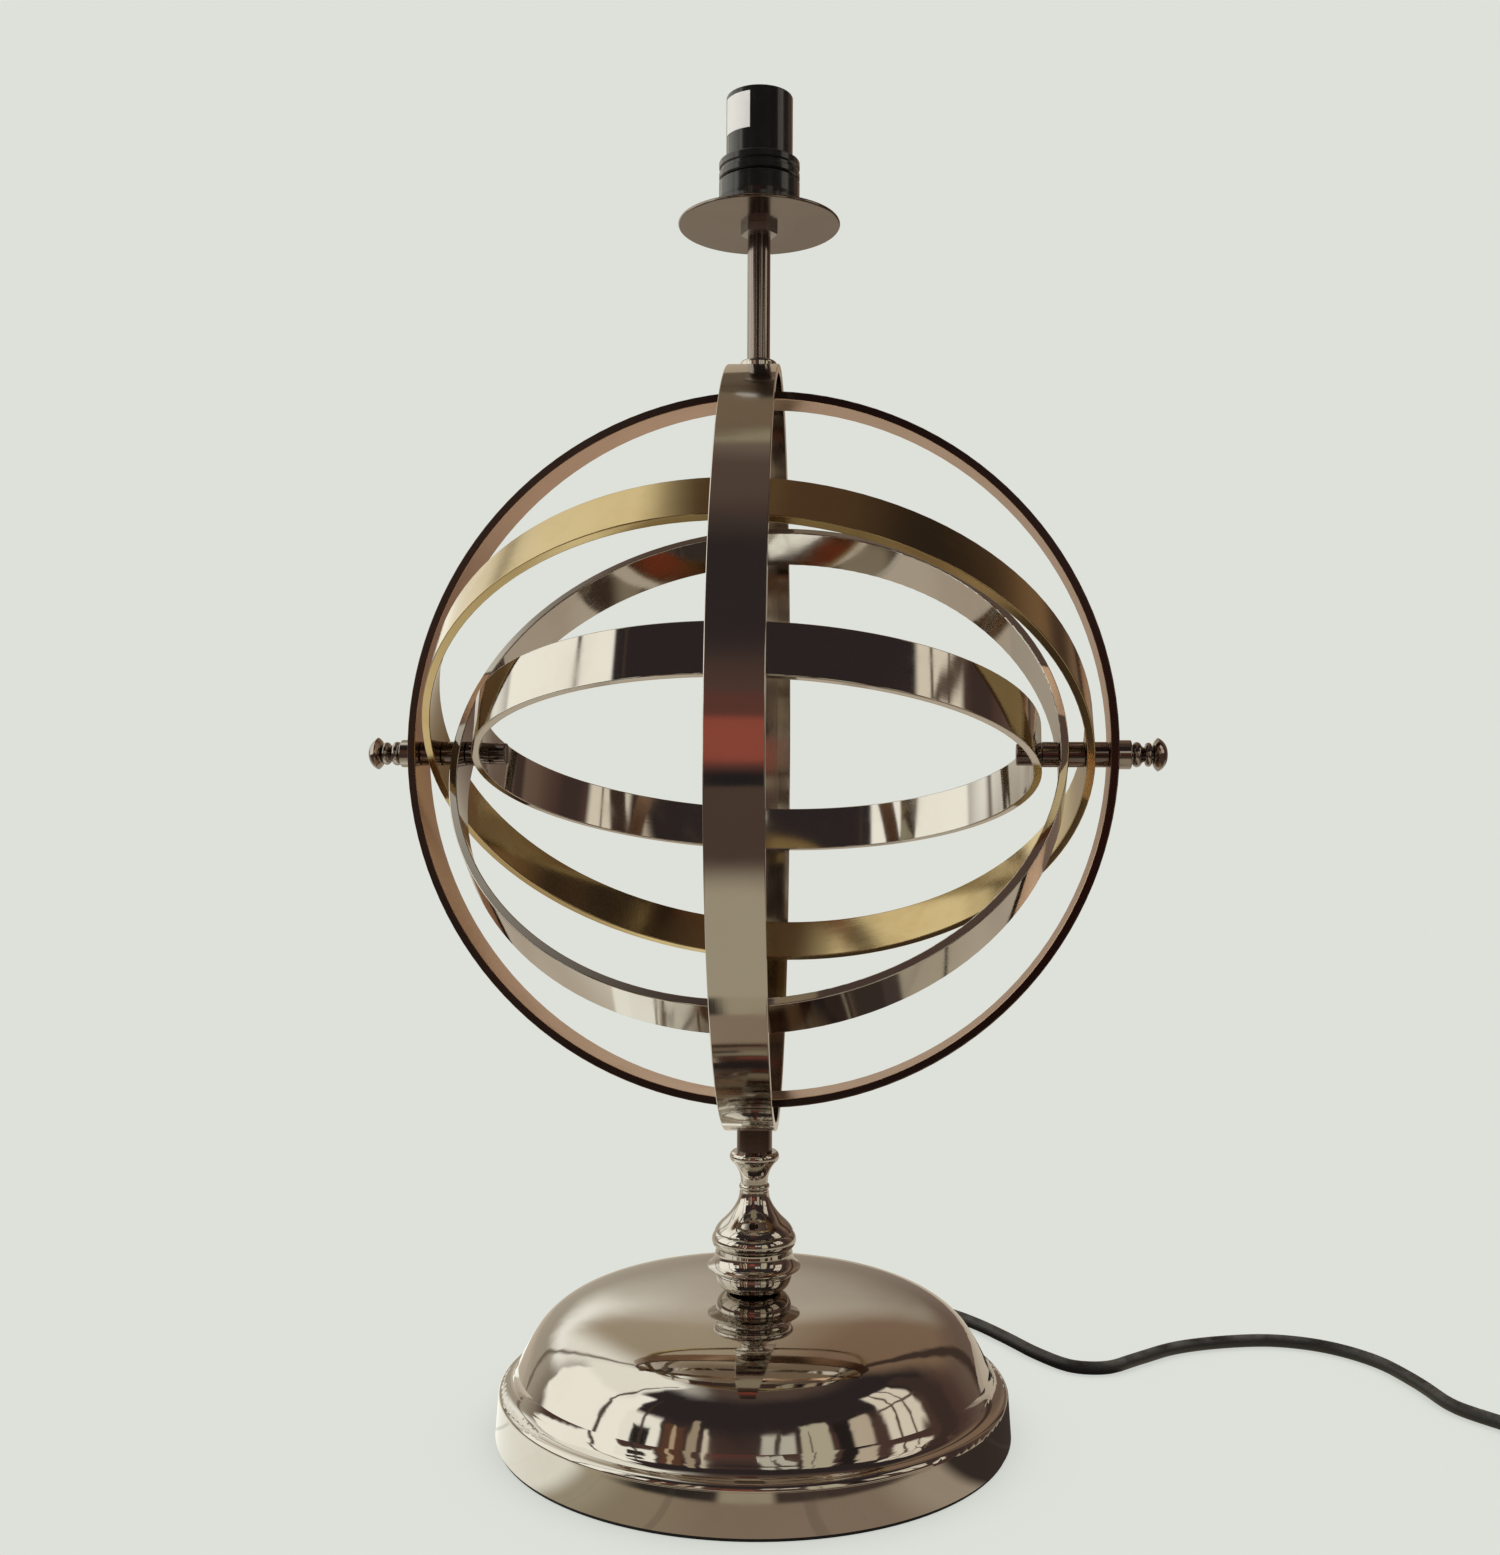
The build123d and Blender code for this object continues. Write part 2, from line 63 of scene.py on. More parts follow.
# ------------------------------------------------------------------ shader graph
class Graph:
    """Writes the shader nodes of a material or world as expressions."""

    def __init__(self, owner):
        owner.use_nodes = True
        self.nodes = owner.node_tree.nodes
        self.links = owner.node_tree.links

    def put(self, socket, value):
        """Link a socket, or set its value."""
        if isinstance(value, bpy.types.NodeSocket):
            self.links.new(value, socket)
        elif isinstance(value, tuple) and len(value) == 3 and socket.type == "RGBA":
            socket.default_value = (*value, 1.0)
        else:
            socket.default_value = value

    def new(self, kind, inputs=None, **settings):
        """Add a node; settings go first, since they decide which sockets are available."""
        node = self.nodes.new("ShaderNode" + kind)
        for key, value in settings.items():
            setattr(node, key, value)
        for key, value in (inputs or {}).items():
            self.put(node.inputs[key], value)
        return node

    def math(self, op, a, b=0.0, c=0.0, clamp=False):
        inputs = {0: a, 1: b, 2: c}
        return self.new("Math", inputs, operation=op, use_clamp=clamp).outputs[0]

    def add(self, a, b, clamp=False):
        return self.math("ADD", a, b, clamp=clamp)

    def mul(self, a, b):
        return self.math("MULTIPLY", a, b)

    def vmath(self, op, a, b=(0, 0, 0), scale=None):
        inputs = {0: a, 1: b}
        if scale is not None:
            inputs["Scale"] = scale
        node = self.new("VectorMath", inputs, operation=op)
        return node.outputs["Value" if op in ("DOT_PRODUCT", "LENGTH") else "Vector"]

    def dot(self, a, b):
        return self.vmath("DOT_PRODUCT", a, b)

    def fade(self, value, low, high, start=0.0, end=1.0, shape="SMOOTHSTEP"):
        """Go from start to end while value goes from low to high."""
        inputs = {"Value": value, "From Min": low, "From Max": high,
                  "To Min": start, "To Max": end}
        return self.new("MapRange", inputs, interpolation_type=shape).outputs["Result"]

    def mix(self, factor, a, b):
        inputs = {"Factor": factor, "A": a, "B": b}
        return self.new("Mix", inputs, data_type="RGBA").outputs[2]  # 2 is the colour result

    def ramp(self, value, first, *stops):
        """Run of sRGB colours along value; each stop is (low, high, next colour)."""
        colour = srgb(first)
        for low, high, following in stops:
            colour = self.mix(self.fade(value, low, high), colour, srgb(following))
        return colour

    def noise(self, vector, scale, detail=3.0, rough=0.55, warp=0.0):
        inputs = {"Vector": vector, "Scale": scale, "Detail": detail,
                  "Roughness": rough, "Distortion": warp}
        return self.new("TexNoise", inputs).outputs["Fac"]

    def combine(self, x, y, z):
        return self.new("CombineXYZ", {0: x, 1: y, 2: z}).outputs[0]

    def z_of(self, vector):
        return self.separate(vector)[2]

    def separate(self, vector):
        return self.new("SeparateXYZ", {0: vector}).outputs

    def place(self):
        return self.new("TexCoord").outputs["Object"]

    def bump(self, height, strength, distance, normal=None):
        inputs = {"Height": height, "Strength": strength, "Distance": distance}
        if normal is not None:
            inputs["Normal"] = normal
        return self.new("Bump", inputs).outputs["Normal"]

    def glow(self, kind, colour, strength=1.0):
        return self.new(kind, {"Color": colour, "Strength": strength}).outputs[0]

    def by_ray(self, other, glossy, camera):
        """One shader for camera rays, one for glossy rays and one for the rest."""
        path = self.new("LightPath").outputs
        unseen = self.new("MixShader", {0: path["Is Glossy Ray"], 1: other, 2: glossy})
        inputs = {0: path["Is Camera Ray"], 1: unseen.outputs[0], 2: camera}
        return self.new("MixShader", inputs).outputs[0]


# ------------------------------------------------------------------ material kinds
def new_material(name):
    mat = bpy.data.materials.new(name)
    graph = Graph(mat)
    return mat, graph, graph.nodes["Principled BSDF"]


def axis_coords(g, centre, normal):
    """(angle round the axis, offset along it, radius) about the axis `normal`."""
    axis = Vector(normal).normalized()
    across = axis.orthogonal().normalized()
    third = axis.cross(across)
    rel = g.vmath("SUBTRACT", g.place(), centre)
    x = g.dot(rel, tuple(across))
    y = g.dot(rel, tuple(third))
    offset = g.dot(rel, tuple(axis))
    radius = g.math("SQRT", g.add(g.mul(x, x), g.mul(y, y)))
    return g.math("ARCTAN2", y, x), offset, radius


def streaks(g, coords, along, across, detail, rough):
    """Noise drawn out round an axis: slow along the arc, fast across it."""
    angle, offset, radius = coords
    vector = g.combine(g.mul(angle, along), g.mul(offset, across), g.mul(radius, across))
    return g.noise(vector, 1.0, detail, rough)


def metal(name, colour, rough, streak, axis=None, tint=(0.9, 0.85, 0.8), tarnish=0.25,
          wave=0.0, edge=None):
    """Metal with polishing lines round `axis` (centre, direction), smudges and tarnish.

    tint darkens tarnished areas, wave is a soft unevenness, edge is the worn edge colour.
    """
    mat, g, bsdf = new_material(name)
    place = g.place()
    if axis is not None:
        coords = axis_coords(g, *axis)
        lines = streaks(g, coords, along=0.9, across=900.0, detail=4.0, rough=0.62)
        fine = streaks(g, coords, along=6.0, across=2600.0, detail=2.0, rough=0.5)
    else:
        lines = g.noise(place, 240.0, detail=4.0, rough=0.6)
        fine = g.noise(place, 900.0, detail=2.0, rough=0.5)
    smudge = g.noise(place, 34.0, detail=5.0, rough=0.62, warp=0.35)
    cloud = g.noise(place, 9.0, detail=3.0, rough=0.5, warp=0.2)
    spots = g.noise(place, 420.0, detail=3.0, rough=0.6)

    # tarnish in smudges and wider clouds, then small dark pits
    smudged = g.mul(g.fade(smudge, 0.42, 0.72), tarnish)
    clouded = g.mul(g.fade(cloud, 0.35, 0.7), tarnish * 0.6)
    dark = tuple(c * t for c, t in zip(colour, tint))
    tone = g.mix(g.add(smudged, clouded, clamp=True), colour, dark)
    pits = g.mul(g.fade(spots, 0.70, 0.78), 0.35)
    tone = g.mix(pits, tone, tuple(c * 0.45 for c in colour))

    # worn paler where the surface turns sharply
    if edge is not None:
        bevel = g.new("Bevel", {"Radius": 0.0006}, samples=6)
        turn = g.dot(bevel.outputs[0], g.new("NewGeometry").outputs["Normal"])
        worn = g.mul(g.fade(turn, 0.995, 0.90), g.fade(smudge, 0.3, 0.6))
        tone = g.mix(g.mul(worn, 0.7), tone, edge)
    g.put(bsdf.inputs["Base Color"], tone)
    bsdf.inputs["Metallic"].default_value = 1.0

    # smudges are duller, lines vary the gloss, and nothing is a perfect mirror
    gloss = g.add(rough, g.mul(g.fade(smudge, 0.45, 0.8), 0.07))
    gloss = g.add(gloss, g.mul(g.math("SUBTRACT", lines, 0.5), streak * 0.5))
    g.put(bsdf.inputs["Roughness"], g.math("MAXIMUM", gloss, 0.03))

    normal = g.bump(lines, strength=streak, distance=0.00006)
    normal = g.bump(fine, strength=streak * 0.6, distance=0.00002, normal=normal)
    if wave > 0:
        soft = g.noise(place, 26.0, detail=1.5, rough=0.4)
        normal = g.bump(soft, strength=wave, distance=0.0012, normal=normal)
    g.put(bsdf.inputs["Normal"], normal)
    return mat


DUST = (0.32, 0.30, 0.27)


def plastic(name, colour, rough, grain, scale=900.0, dust=0.12, coat=0.0):
    """Grained non-metal with uneven tone and dust settled on faces that look up."""
    mat, g, bsdf = new_material(name)
    place = g.place()
    coarse = g.noise(place, scale, detail=3.0, rough=0.6)
    patches = g.noise(place, 60.0, detail=4.0, rough=0.6, warp=0.3)
    fine = g.noise(place, 2200.0, detail=2.0, rough=0.5)
    upward = g.z_of(g.new("NewGeometry").outputs["Normal"])
    settled = g.mul(g.fade(upward, 0.2, 1.0), g.fade(patches, 0.35, 0.7))

    tone = g.mix(g.mul(settled, dust), colour, DUST)
    paler = tuple(min(1, c * 1.7 + 0.004) for c in colour)
    tone = g.mix(g.mul(g.fade(patches, 0.5, 0.8), 0.35), tone, paler)
    g.put(bsdf.inputs["Base Color"], tone)

    # patches and dust are both duller
    gloss = g.add(rough, g.mul(g.fade(patches, 0.4, 0.8), 0.14))
    g.put(bsdf.inputs["Roughness"], g.add(gloss, g.mul(settled, 0.2)))

    normal = g.bump(coarse, strength=grain, distance=0.00012)
    normal = g.bump(fine, strength=grain * 0.5, distance=0.00003, normal=normal)
    g.put(bsdf.inputs["Normal"], normal)
    if coat:
        bsdf.inputs["Coat Weight"].default_value = coat
        bsdf.inputs["Coat Roughness"].default_value = 0.08
    return mat


def paint_band_reflection_and_shade(mat):
    """Paint a pale coppery reflection onto the bronze band's inward face and painted shade onto
    its faces towards +Y and -Y.
    """
    g = Graph(mat)
    base = g.nodes["Principled BSDF"].inputs["Base Color"]
    outer_tone = base.links[0].from_socket
    normal = g.new("NewGeometry").outputs["True Normal"]
    shaded_side = g.math("ABSOLUTE", g.separate(normal)[1])
    rel = g.vmath("SUBTRACT", g.place(), RING_CENTRE)
    outward = g.vmath("NORMALIZE", g.vmath("MULTIPLY", rel, (1, 0, 1)))
    inward = g.mul(g.dot(normal, outward), -1.0)
    # painted reflection: a paler coppery tone on the faces that look inward
    painted_reflection = g.mix(g.noise(g.place(), 22.0, detail=3.0), (0.86, 0.60, 0.43), (0.66, 0.44, 0.31))
    tone = g.mix(g.fade(inward, 0.4, 0.8), outer_tone, painted_reflection)
    # painted shade: the faces towards +Y and -Y darkened
    tone = g.mix(g.fade(shaded_side, 0.6, 0.9), tone, (0.085, 0.06, 0.055))
    g.put(base, tone)


def assign(mat, *names):
    for name in names:
        slots = pieces[name].data.materials
        slots.clear()
        slots.append(mat)


def hoop(tilt):
    """Axis of a ring tilted about the pivot axis by degrees."""
    angle = math.radians(tilt)
    return PIVOT_CENTRE, (0.0, -math.sin(angle), math.cos(angle))


# ------------------------------------------------------------------ materials
# Axes are (centre, direction)
UPRIGHT = ((0, 0, 0), (0, 0, 1))
PIVOT = (PIVOT_CENTRE, (1, 0, 0))
OUTER_HOOP = (RING_CENTRE, (math.cos(OUTER_TURN), math.sin(OUTER_TURN), 0.0))
BAND_HOOP = (RING_CENTRE, (0, 1, 0))

NICKEL = (0.60, 0.57, 0.525)
WORN_NICKEL = (0.86, 0.82, 0.76)

# rings
assign(metal("nickel_outer_ring", (0.63, 0.60, 0.55), rough=0.07, streak=0.06, axis=OUTER_HOOP,
             wave=0.05, edge=WORN_NICKEL), "outer_ring")
assign(metal("nickel_strip", (0.57, 0.52, 0.46), rough=0.11, streak=0.08, axis=OUTER_HOOP),
       "wire_cover_strip")
for size, tilt in (("large", 51.9), ("small", -16.9)):
    assign(metal(f"nickel_{size}_ring", NICKEL, rough=0.05, streak=0.04, axis=hoop(tilt),
                 wave=0.03, edge=WORN_NICKEL), f"{size}_nickel_ring")
assign(metal("brass_satin", (0.52, 0.41, 0.215), rough=0.13, streak=0.15, axis=hoop(-39.7),
             tint=(0.8, 0.66, 0.5), tarnish=0.35, edge=(0.86, 0.72, 0.45)), "brass_ring")
bronze = metal("bronze_band", (0.36, 0.235, 0.16), rough=0.22, streak=0.16, axis=BAND_HOOP,
               tint=(0.62, 0.5, 0.45), tarnish=0.4, edge=(0.50, 0.36, 0.28))
# painted reflection on the band's inward face and painted shade on its faces towards +Y and -Y
paint_band_reflection_and_shade(bronze)
assign(bronze, "bronze_ring")

# base, neck and stem
assign(metal("nickel_dome", NICKEL, rough=0.045, streak=0.03, axis=UPRIGHT, wave=0.012,
             tarnish=0.22), "base_shell")
assign(metal("nickel_turned", NICKEL, rough=0.05, streak=0.05, axis=UPRIGHT),
       "neck_foot", "neck_flared_band", "neck_vase", "neck_bead", "neck_cup", "stem_foot")
assign(metal("nickel_tube", (0.30, 0.255, 0.23), rough=0.12, streak=0.05, axis=UPRIGHT),
       "stem_tube")
assign(metal("nickel_disc", (0.28, 0.245, 0.215), rough=0.16, streak=0.10, axis=UPRIGHT,
             tarnish=0.35), "gallery_disc")
assign(metal("dark_block", (0.16, 0.12, 0.105), rough=0.14, streak=0.10, axis=UPRIGHT,
             tarnish=0.4), "ring_saddle_block")

# pivot axis
assign(metal("axis_nickel", (0.20, 0.165, 0.155), rough=0.12, streak=0.10, axis=PIVOT,
             tarnish=0.4),
       "axis_spacers_left", "axis_spacers_right", "pivot_bolt_left", "pivot_bolt_right")
assign(metal("finial_nickel", (0.40, 0.365, 0.34), rough=0.05, streak=0.04, axis=PIVOT,
             tarnish=0.3),
       "finial_left", "finial_right", "finial_collar_left", "finial_collar_right")

# fixings and contacts
assign(metal("zinc_steel", (0.52, 0.52, 0.51), rough=0.32, streak=0.16, axis=UPRIGHT,
             tarnish=0.4),
       "neck_tube", "neck_washer", "neck_nut", "gallery_nut", "pivot_screw_top",
       "pivot_screw_bottom", "contact_spring_left", "contact_spring_right")
assign(metal("contact_brass", (0.72, 0.55, 0.27), rough=0.2, streak=0.1, axis=UPRIGHT,
             tarnish=0.3), "contact_plunger_left", "contact_plunger_right", "plug_pins")
assign(metal("cast_iron", (0.12, 0.12, 0.12), rough=0.6, streak=0.4), "base_weight")

# non-metals
assign(plastic("nylon_washer", (0.02, 0.02, 0.02), rough=0.5, grain=0.1),
       "pivot_washer_top", "pivot_washer_bottom")
assign(plastic("felt", (0.012, 0.012, 0.012), rough=0.95, grain=0.9, scale=1400.0, dust=0.3),
       "felt_pad")
assign(plastic("cable_rubber", (0.012, 0.012, 0.011), rough=0.42, grain=0.15, scale=700.0,
               dust=0.25), "mains_cable", "cable_grommet")
assign(plastic("bakelite", (0.006, 0.006, 0.006), rough=0.20, grain=0.05, scale=500.0,
               dust=0.10, coat=0.4), "holder_cap", "holder_barrel", "shade_ring", "plug_body")
assign(plastic("insert_cream", (0.55, 0.53, 0.47), rough=0.45, grain=0.1), "holder_insert")
assign(plastic("label_paper", (0.62, 0.62, 0.60), rough=0.6, grain=0.2, scale=1600.0,
               dust=0.05), "holder_label")
assign(plastic("core_brown", (0.10, 0.035, 0.012), rough=0.4, grain=0.05), "live_core")
assign(plastic("core_blue", (0.015, 0.06, 0.25), rough=0.4, grain=0.05), "neutral_core")

for piece in pieces.values():
    for face in piece.data.polygons:
        face.use_smooth = True

# ------------------------------------------------------------------ camera
SENSOR = 36.0                         # mm
LENS = 36.555627                      # mm
PITCH = math.radians(0.803)
YAW = math.radians(-0.0235)
ROLL = math.radians(0.293)
CAMERA_AT = (-0.002495, -0.68618, 0.2695)   # before the turn about Z
VIEW_TURN = Matrix.Rotation(math.radians(7.0), 4, "Z")

# level directions as the camera sees them
AWAY = tuple(VIEW_TURN.to_3x3() @ Vector((0, 1, 0)))
RIGHT = tuple(VIEW_TURN.to_3x3() @ Vector((1, 0, 0)))


def add_camera():
    data = bpy.data.cameras.new("photo_view")
    camera = bpy.data.objects.new("photo_view", data)
    scene.collection.objects.link(camera)
    data.sensor_width = SENSOR
    data.sensor_fit = "AUTO"
    data.lens = LENS
    data.clip_start = 0.01
    data.clip_end = 50.0
    level = math.cos(PITCH)
    forward = Vector((math.sin(YAW) * level, math.cos(YAW) * level, math.sin(PITCH)))
    right = Vector((math.cos(YAW), -math.sin(YAW), 0.0))
    up = right.cross(forward)
    rolled_right = right * math.cos(ROLL) + up * math.sin(ROLL)
    rolled_up = -right * math.sin(ROLL) + up * math.cos(ROLL)
    aim = Matrix((rolled_right, rolled_up, -forward)).transposed()
    camera.matrix_world = VIEW_TURN @ (Matrix.Translation(CAMERA_AT) @ aim.to_4x4())
    scene.camera = camera


add_camera()

# ------------------------------------------------------------------ contact springs
# The two coils under the lampholder contacts shorten when a contact is pressed, so each is
# its own coil, flattening towards its seat.
SEAT_Z = 0.5401
COIL_TOP = 0.5457
CONTACT_X = 0.0042


def coil_spring(name, centre_x, turns=5.0, radius=0.0019, wire=0.00025, steps=28, sides=10):
    """Closed swept coil with flat end turns; wire is the wire's radius, steps are per turn."""
    bm = bmesh.new()
    count = int(turns * steps)
    low = SEAT_Z + wire
    high = COIL_TOP - wire
    rings = []
    for i in range(count + 1):
        share = i / count
        angle = 2.0 * math.pi * turns * share
        climb = min(1.0, max(0.0, (share * turns - 0.5) / (turns - 1.0)))
        outward = Vector((math.cos(angle), math.sin(angle), 0.0))
        centre = Vector((centre_x + radius * math.cos(angle), radius * math.sin(angle),
                         low + (high - low) * climb))
        ring = []
        for k in range(sides):
            around = 2.0 * math.pi * k / sides
            lift = Vector((0, 0, wire * math.sin(around)))
            ring.append(bm.verts.new(centre + outward * (wire * math.cos(around)) + lift))
        rings.append(ring)
    for ring, following in zip(rings, rings[1:]):
        for k in range(sides):
            j = (k + 1) % sides
            bm.faces.new((ring[k], following[k], following[j], ring[j]))
    bm.faces.new(rings[0])
    bm.faces.new(list(reversed(rings[-1])))
    bmesh.ops.recalc_face_normals(bm, faces=bm.faces)
    for face in bm.faces:
        face.smooth = len(face.verts) == 4
    mesh = bpy.data.meshes.new(name)
    bm.to_mesh(mesh)
    bm.free()
    coil = bpy.data.objects.new(name, mesh)
    scene.collection.objects.link(coil)
    return coil


for side, x in (("left", -CONTACT_X), ("right", CONTACT_X)):
    spring = "contact_spring_" + side
    coil = coil_spring("contact_coil_" + side, x)
    coil.data.materials.append(pieces[spring].data.materials[0])
    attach(coil, "stand")
    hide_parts(spring)
    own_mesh(coil)

# ------------------------------------------------------------------ reflected room
# Azimuth is in degrees from the camera's side, growing to the right; elevation is in degrees.
# Colours are sRGB. Each ramp is a first colour, then stops of (low, high, next colour).
PALE = srgb((222, 225, 218))
ROOM_STRENGTH = 1.55

# by elevation
NEAR_WALL = ((64, 50, 44), (-40, 10, (72, 54, 48)), (14, 30, (42, 36, 36)))
# by the direction's part towards AWAY
OVERHEAD = ((98, 85, 76), (-0.03, 0.03, (134, 127, 106)))
# by the direction's part towards RIGHT
HIGH_NEAR = ((200, 198, 188), (-0.5, -0.2, (78, 64, 57)))
FAR_MIDDLE = ((232, 232, 224), (-0.34, 0.0, (168, 160, 146)),
              (0.0, 0.30, (142, 132, 117)), (0.30, 0.55, (106, 87, 72)))
FAR_HIGH = ((222, 221, 212), (-0.62, -0.30, (150, 138, 118)), (-0.10, 0.20, (118, 97, 79)))
FAR_TOP = ((176, 170, 158), (-0.5, -0.2, (104, 90, 73)))
FAR_LOW = ((150, 142, 128), (-0.3, 0.5, (96, 80, 70)))

# Soft-edged rectangles laid over the walls, later ones on top:
# azimuth from, to, elevation from, to, azimuth softness, elevation softness, colour, gain
PATCHES = [
    (-132, -129, -20, 60, 2, 2, (96, 84, 74), 1.0),
    (128, 136, -20, 60, 2, 2, (60, 48, 42), 1.0),
    (-116, -62, -3, 40, 1.2, 2, (234, 233, 224), 1.04),
    (-66, -45, 8, 25, 1.0, 1.5, (232, 230, 220), 1.0),
    (-124, -72, 30, 68, 3, 4, (226, 225, 215), 1.0),
    (-79, -77, -4, 64, 0.6, 0.6, (70, 58, 50), 1.0),
    (-60, -51, 13, 19, 0.7, 0.7, (36, 32, 30), 1.0),
    (-56, -54.5, 2, 42, 0.5, 0.5, (60, 50, 44), 1.0),
    (-43, -33, -8, 24, 0.6, 0.6, (84, 58, 44), 1.0),
    (-39.5, -37.5, -8, 24, 0.4, 0.4, (168, 148, 122), 1.0),
    (-31, -27, -4, 30, 0.6, 0.6, (150, 136, 116), 1.0),
    (-24, -21.5, -20, 26, 0.5, 0.5, (196, 186, 168), 1.0),
    (-20, 8, -8, 13, 1.2, 1.2, (84, 52, 46), 1.0),
    (-12, 1, -5, 7, 1.0, 1.0, (132, 68, 56), 1.0),
    (-17, 16, -17, -7, 1.5, 1.5, (28, 28, 29), 1.0),
    (5, 19, 12, 24, 1.0, 1.0, (176, 172, 160), 1.0),
    (11, 12.2, -4, 26, 0.4, 0.4, (70, 60, 54), 1.0),
    (22, 37, -12, 27, 0.9, 0.9, (168, 162, 142), 1.0),
    (27, 27.8, -12, 24, 0.3, 0.3, (92, 82, 70), 1.0),
    (40, 54, -20, 26, 1.2, 1.2, (34, 29, 28), 1.0),
    (48, 58, 4, 24, 1.0, 1.0, (176, 164, 146), 1.0),
    (66, 88, 6, 38, 1.5, 1.5, (210, 202, 186), 1.0),
    (72, 73.4, 4, 40, 0.5, 0.5, (72, 58, 50), 1.0),
    (80, 81.2, 4, 40, 0.5, 0.5, (72, 58, 50), 1.0),
    (64, 92, 20, 22, 0.6, 0.6, (80, 66, 56), 1.0),
    (92, 104, -20, 40, 2, 2, (58, 46, 42), 1.0),
]


def azimuth_of(g, x, y):
    return g.mul(g.math("ARCTAN2", x, g.mul(y, -1.0)), 180.0 / math.pi)


def window(g, value, low, high, soft):
    """Soft steps up at low and down at high."""
    return (g.fade(value, low - soft, low + soft),
            g.fade(value, high - soft, high + soft, start=1.0, end=0.0))


def surroundings(g, direction):
    """Colour of the room in a direction: near side, ceiling, far side, then the patches."""
    x = g.dot(direction, RIGHT)
    y = g.dot(direction, AWAY)
    z = g.z_of(direction)

    def wobble(angle, scale, degrees):
        drift = g.math("SUBTRACT", g.noise(direction, scale, detail=2.0), 0.5)
        return g.add(angle, g.mul(drift, degrees))

    az = wobble(azimuth_of(g, x, y), scale=3.0, degrees=9.0)
    el = wobble(g.mul(g.math("ARCSINE", z), 180.0 / math.pi), scale=4.0, degrees=8.0)

    # near side and ceiling, paler to the left
    room = g.ramp(el, *NEAR_WALL)
    ceiling = g.mix(g.fade(x, -0.5, -0.15), srgb((214, 212, 202)), g.ramp(y, *OVERHEAD))
    room = g.mix(g.fade(el, 52, 72), room, g.ramp(x, *HIGH_NEAR))
    room = g.mix(g.fade(el, 80, 87), room, ceiling)

    # far side, pale on the left and brown on the right
    far_wall = g.mix(g.fade(el, 10, 20), g.ramp(x, *FAR_MIDDLE), g.ramp(x, *FAR_HIGH))
    far_wall = g.mix(g.fade(el, 44, 60), far_wall, g.ramp(x, *FAR_TOP))
    far_wall = g.mix(g.fade(el, 0, 14), g.ramp(x, *FAR_LOW), far_wall)
    far = g.mul(g.fade(g.math("ABSOLUTE", az), 104, 128), g.fade(el, 88, 80))
    room = g.mix(far, room, far_wall)

    for az_from, az_to, el_from, el_to, az_soft, el_soft, colour, gain in PATCHES:
        mask, *others = (*window(g, az, az_from, az_to, az_soft),
                         *window(g, el, el_from, el_to, el_soft))
        for other in others:
            mask = g.mul(mask, other)
        room = g.mix(mask, room, tuple(c * gain for c in srgb(colour)))
    return room


def empty_graph(owner):
    graph = Graph(owner)
    graph.nodes.clear()
    return graph


def build_world():
    """Room for reflections, soft grey for diffuse light, pale for the camera."""
    world = bpy.data.worlds.new("studio")
    scene.world = world
    g = empty_graph(world)
    room = surroundings(g, g.new("TexCoord").outputs["Generated"])
    shader = g.by_ray(other=g.glow("Background", (0.80, 0.79, 0.76), strength=0.75),
                      glossy=g.glow("Background", room, strength=ROOM_STRENGTH),
                      camera=g.glow("Background", PALE))
    g.new("OutputWorld", {0: shader})


build_world()

# ------------------------------------------------------------------ floor
FLOOR_SIZE = 8.0
FLOOR_Z = -0.0002

# Reflected table tones by azimuth, as ramps: beside the base, then a ring just outside it,
# then the table beyond
TABLE_CLOSE = ((222, 222, 212), (-56, -46, (150, 142, 122)), (-44, -32, (134, 122, 103)),
               (-28, -8, (126, 111, 96)), (30, 46, (150, 138, 122)), (53, 60, (52, 44, 40)))
TABLE_NEAR = ((226, 226, 216), (-58, -48, (158, 148, 126)), (-48, -30, (44, 40, 37)),
              (-20, 8, (62, 52, 47)), (34, 54, (118, 103, 88)), (55, 62, (64, 54, 50)))
TABLE_MIDDLE = ((220, 218, 206), (-110, -50, (152, 144, 126)))


def reflected_table(g):
    """Table colour that the polished metal sees, by azimuth and distance from the stand."""
    place = g.place()
    az = azimuth_of(g, g.dot(place, RIGHT), g.dot(place, AWAY))
    distance = g.vmath("LENGTH", place)
    far = g.fade(g.math("ABSOLUTE", az), 95, 130)

    close = g.ramp(az, *TABLE_CLOSE)
    near = g.ramp(az, *TABLE_NEAR)
    # pale stripe centred at azimuth -2
    off_stripe = g.fade(g.math("ABSOLUTE", g.add(az, 2.0)), 6, 9)
    near = g.mix(off_stripe, srgb((146, 137, 118)), near)
    middle = g.mix(far, g.ramp(az, *TABLE_MIDDLE), srgb((168, 158, 142)))
    rim = g.mix(far, srgb((72, 58, 51)), srgb((160, 149, 134)))

    # distances in metres at which one tone gives way to the next
    table = g.mix(g.fade(distance, 0.154, 0.160), close, near)
    table = g.mix(g.fade(distance, 0.182, 0.190), table, middle)
    table = g.mix(g.fade(distance, 0.40, 0.56), table, rim)

    # faint dark bars radiating from the stand
    bars = g.noise(g.combine(g.mul(az, 0.11), 0.0, 0.0), 1.0, detail=1.0)
    return g.mix(g.fade(bars, 0.62, 0.66, start=0.0, end=0.25), table, srgb((70, 62, 54)))


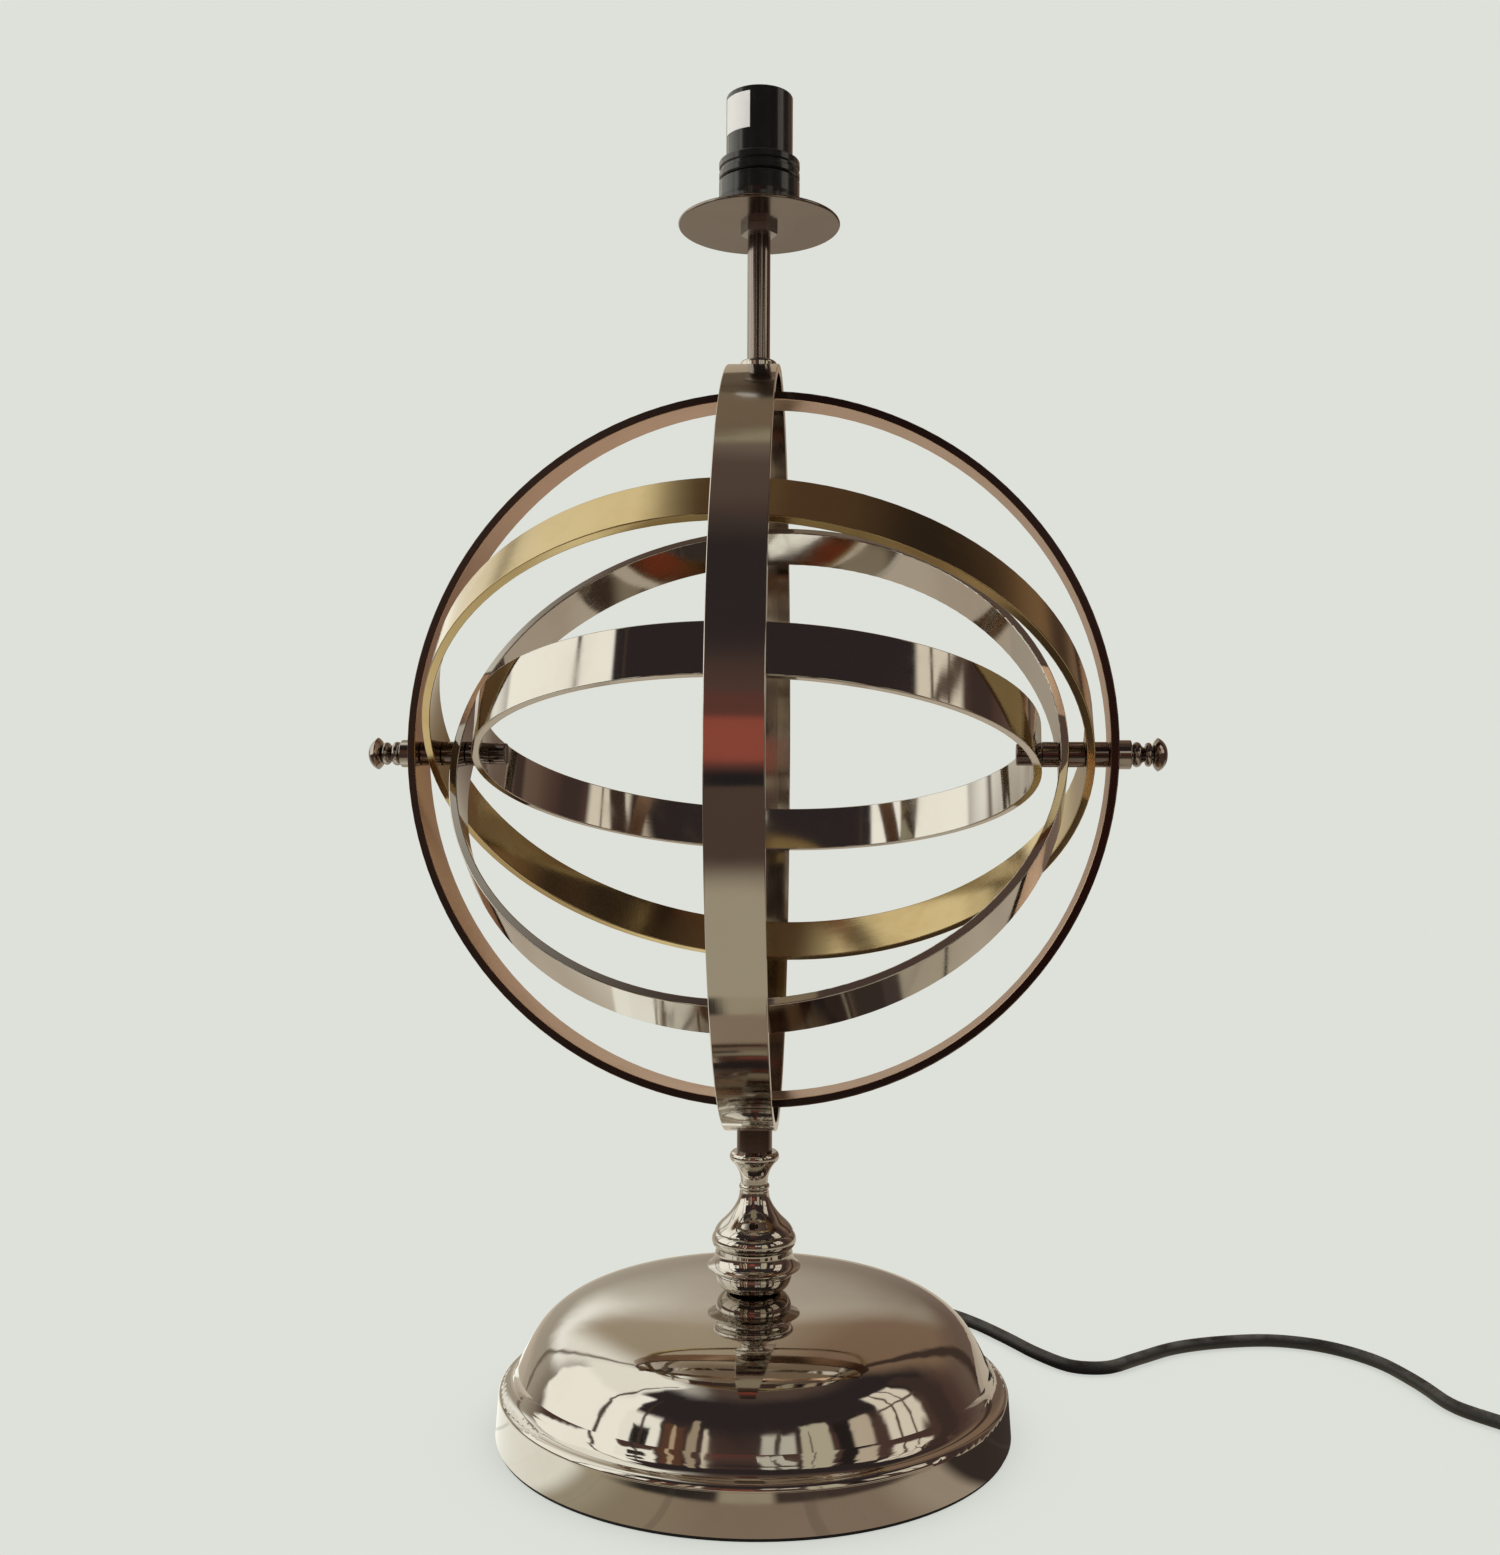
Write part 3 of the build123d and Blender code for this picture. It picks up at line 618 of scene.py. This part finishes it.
def build_floor():
    """Seamless pale sheet with a faint contact shade."""
    bpy.ops.mesh.primitive_plane_add(size=FLOOR_SIZE, location=(0, 0, FLOOR_Z))
    floor = bpy.context.object
    floor.name = "floor"
    mat = bpy.data.materials.new("floor_pale")
    g = empty_graph(mat)
    contact = g.new("AmbientOcclusion", {"Distance": 0.035}, samples=8).outputs["AO"]
    shade = g.fade(contact, 0.25, 1.0, start=0.80, end=1.0)
    grain = g.noise(g.place(), 500.0, detail=3.0, rough=0.6)
    grain = g.fade(grain, 0.3, 0.7, start=0.995, end=1.005, shape="LINEAR")
    sheet = g.vmath("SCALE", PALE, scale=g.mul(shade, grain))
    diffuse = g.new("BsdfDiffuse", {"Color": (0.5, 0.49, 0.47)})
    shader = g.by_ray(other=diffuse.outputs[0],
                      glossy=g.glow("Emission", reflected_table(g), strength=1.5),
                      camera=g.glow("Emission", sheet))
    g.new("OutputMaterial", {0: shader})
    floor.data.materials.append(mat)


build_floor()

# ------------------------------------------------------------------ backdrop
BACKDROP_RADIUS = 1.5


def build_backdrop():
    """Sphere round the rings that only reflections see."""
    bm = bmesh.new()
    bmesh.ops.create_uvsphere(bm, u_segments=96, v_segments=48, radius=BACKDROP_RADIUS)
    mesh = bpy.data.meshes.new("backdrop")
    bm.to_mesh(mesh)
    bm.free()
    backdrop = bpy.data.objects.new("backdrop", mesh)
    backdrop.location = RING_CENTRE
    scene.collection.objects.link(backdrop)
    backdrop.visible_camera = False
    backdrop.visible_diffuse = False
    backdrop.visible_shadow = False
    backdrop.visible_transmission = False
    mat = bpy.data.materials.new("backdrop_room")
    g = empty_graph(mat)
    room = surroundings(g, g.vmath("NORMALIZE", g.place()))
    g.new("OutputMaterial", {0: g.glow("Emission", room, strength=ROOM_STRENGTH)})
    mesh.materials.append(mat)


build_backdrop()

# ------------------------------------------------------------------ lights
LIGHT_TARGET = (0, 0, 0.28)

# name, place before the view turn, (width, height), watts, colour
LIGHTS = [
    ("window_left", (-1.5, -0.4, 0.9), (0.9, 1.2), 16.0, (1.0, 0.97, 0.92)),
    ("window_right", (1.5, 0.3, 0.8), (0.7, 1.0), 9.0, (1.0, 0.96, 0.9)),
    ("overhead", (0.0, -0.3, 1.7), (1.4, 1.0), 9.0, (1.0, 0.98, 0.95)),
]

for name, place, size, watts, colour in LIGHTS:
    data = bpy.data.lights.new(name, "AREA")
    data.shape = "RECTANGLE"
    data.size, data.size_y = size
    data.energy = watts
    data.color = colour
    light = bpy.data.objects.new(name, data)
    scene.collection.objects.link(light)
    light.location = VIEW_TURN @ Vector(place)
    light.visible_glossy = False
    aim = VIEW_TURN @ Vector(LIGHT_TARGET) - light.location
    light.rotation_euler = aim.to_track_quat("-Z", "Y").to_euler()

scene.view_settings.view_transform = "Standard"
scene.view_settings.look = "None"
